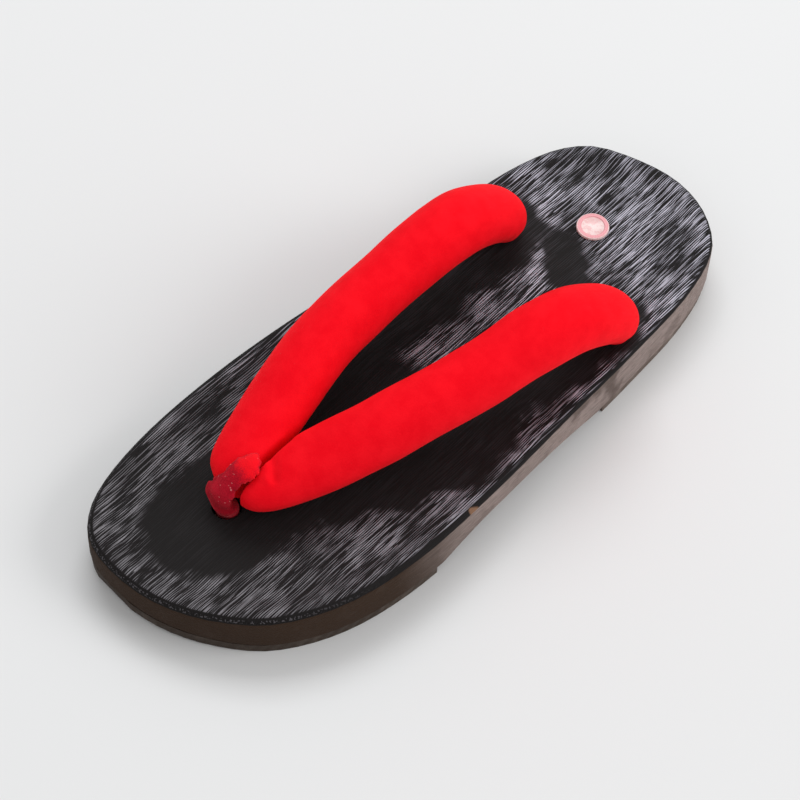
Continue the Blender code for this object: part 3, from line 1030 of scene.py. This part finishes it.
    def loop(self) -> None:
        """Make the velvet front loop."""
        piece = self.remeshed(merged_node("maetsubo"), "velvet_loop", self.loop_voxel, 3)
        for vertex in piece.data.vertices:
            lump = noise.noise(vertex.co * self.lump_scale)
            vertex.co += vertex.normal * (self.loop_pile + lump * self.loop_lumps)
            share = min(1.0, max(0.0, (vertex.co.y - self.loop_spread_from) / self.loop_spread_over))
            if vertex.co.z > self.loop_above:
                vertex.co.x += (vertex.co.x - self.loop_centre) * self.loop_spread * share
        self.smoothed(piece, self.loop_rounds)
        piece.data.shade_smooth()
        finer = piece.modifiers.new("finer", "SUBSURF")
        finer.levels = 1
        finer.render_levels = 1
        velvet = NappedCloth(
            name="wine_velvet", shade=(0.34, 0.0, 0.010), light=(0.58, 0.006, 0.025), lint=(0.90, 0.32, 0.32),
            fibre=2300.0, sheen=0.2, sheen_tint=(1.0, 0.30, 0.30), lint_share=0.7, depth=0.35 * MM,
            bright=(34 * MM, 39 * MM))
        dress(piece, velvet.build(), Slot.VELVET, "maetsubo")


@dataclass
class Fastenings:
    """The cord knots under the sole and the small disc on the heel."""

    ring_inner: float = 0.70
    ring_outer: float = 0.93
    rim_height: float = 0.25 * MM
    sides: int = 64

    def build(self) -> None:
        """Make and dress the knots and the disc."""
        cord = CottonCord().build()
        for node in ("front_knot", "rear_knot_medial", "rear_knot_lateral"):
            piece = new_piece(node + "_cord", merged_node(node), 60.0)
            dress(piece, cord, Slot.CORD, node)
        self.badge()

    def badge(self) -> None:
        """Turn the heel's disc, with a raised rim."""
        low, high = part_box("heel_badge")
        radius = (high.x - low.x) / 2
        centre = Vector(((low.x + high.x) / 2, (low.y + high.y) / 2, low.z))
        top = high.z - low.z
        dip = top - self.rim_height
        rim = radius * self.ring_inner
        profile = (
            (0.0, 0.0), (radius, 0.0), (radius, top * 0.6), (radius * 0.97, top * 0.9), (radius * 0.92, top),
            (rim + self.rim_height, top), (rim, dip + self.rim_height * 0.3), (rim * 0.97, dip), (0.0, dip))
        mesh_data = bmesh.new()
        verts = [mesh_data.verts.new((reach, 0.0, height)) for reach, height in profile]
        edges = [mesh_data.edges.new(pair) for pair in zip(verts, verts[1:])]
        bmesh.ops.spin(
            mesh_data, geom=verts + edges, cent=(0.0, 0.0, 0.0), axis=(0.0, 0.0, 1.0), angle=2 * math.pi,
            steps=self.sides, use_merge=True)
        bmesh.ops.remove_doubles(mesh_data, verts=mesh_data.verts, dist=0.001 * MM)
        bmesh.ops.recalc_face_normals(mesh_data, faces=mesh_data.faces)
        bmesh.ops.translate(mesh_data, verts=mesh_data.verts, vec=centre)
        enamel = BadgeEnamel(tuple(centre), (radius * self.ring_inner, radius * self.ring_outer))
        dress(new_piece("heel_disc", mesh_data), enamel.build(), Slot.BADGE, "heel_badge")


@dataclass(frozen=True)
class SoftLamp:
    """A large soft lamp that points at the shoe."""

    name: str
    place: Point
    size: tuple[float, float]
    power: float
    color: Color = (1.0, 1.0, 1.0)

    def build(self) -> None:
        """Hang the lamp."""
        lamp = bpy.data.lights.new(self.name, "AREA")
        lamp.shape = "RECTANGLE"
        lamp.size, lamp.size_y = self.size
        lamp.energy = self.power
        lamp.color = self.color
        item = bpy.data.objects.new(self.name, lamp)
        item.location = self.place
        item.rotation_euler = (-Vector(self.place)).to_track_quat("-Z", "Y").to_euler()
        bpy.context.scene.collection.objects.link(item)


@dataclass(frozen=True)
class Studio:
    """Pale floor, soft light and the camera."""

    floor_size: float = 6.0
    sky: float = 0.60
    eye: Point = (-0.3336, 0.3444, 0.6987)
    ahead: Point = (0.40356, -0.40130, -0.82225)
    upward: Point = (0.61439, -0.54707, 0.56854)
    lens: float = 113.8
    lamps: tuple[SoftLamp, ...] = (
        SoftLamp("back_lamp", (1.20, -1.06, 2.20), (1.8, 1.2), 30.0, (0.96, 0.98, 1.0)),
        SoftLamp("window_lamp", (-2.0, -1.5, 1.5), (1.6, 1.6), 34.0),
    )

    def build(self) -> None:
        """Set up the studio."""
        self.floor()
        self.light()
        self.camera()

    def floor(self) -> None:
        """Lay the floor."""
        mesh_data = bmesh.new()
        bmesh.ops.create_grid(mesh_data, x_segments=1, y_segments=1, size=self.floor_size / 2)
        piece = new_piece("floor", mesh_data)
        piece.data.materials.append(FloorPaint().build())

    def light(self) -> None:
        """Hang the lamps and set the light from all round."""
        world = bpy.data.worlds.new("studio")
        world.use_nodes = True
        background = world.node_tree.nodes["Background"]
        background.inputs["Color"].default_value = (1.0, 1.0, 1.0, 1.0)
        background.inputs["Strength"].default_value = self.sky
        bpy.context.scene.world = world
        bpy.context.scene.view_settings.view_transform = "Standard"
        for lamp in self.lamps:
            lamp.build()

    def camera(self) -> None:
        """Place the camera."""
        ahead = Vector(self.ahead).normalized()
        side = ahead.cross(Vector(self.upward)).normalized()
        above = side.cross(ahead)
        turn = Matrix((side, above, -ahead)).transposed().to_4x4()
        camera = bpy.data.cameras.new("camera")
        camera.sensor_fit = "HORIZONTAL"
        camera.sensor_width = 36.0
        camera.lens = self.lens
        item = bpy.data.objects.new("camera", camera)
        item.matrix_world = Matrix.Translation(self.eye) @ turn
        bpy.context.scene.collection.objects.link(item)
        bpy.context.scene.camera = item


def main() -> None:
    """Build the studio and the shoe."""
    Studio().build()
    WoodenSole().build()
    PaddedThong().build()
    Fastenings().build()


if __name__ == "__main__":
    main()
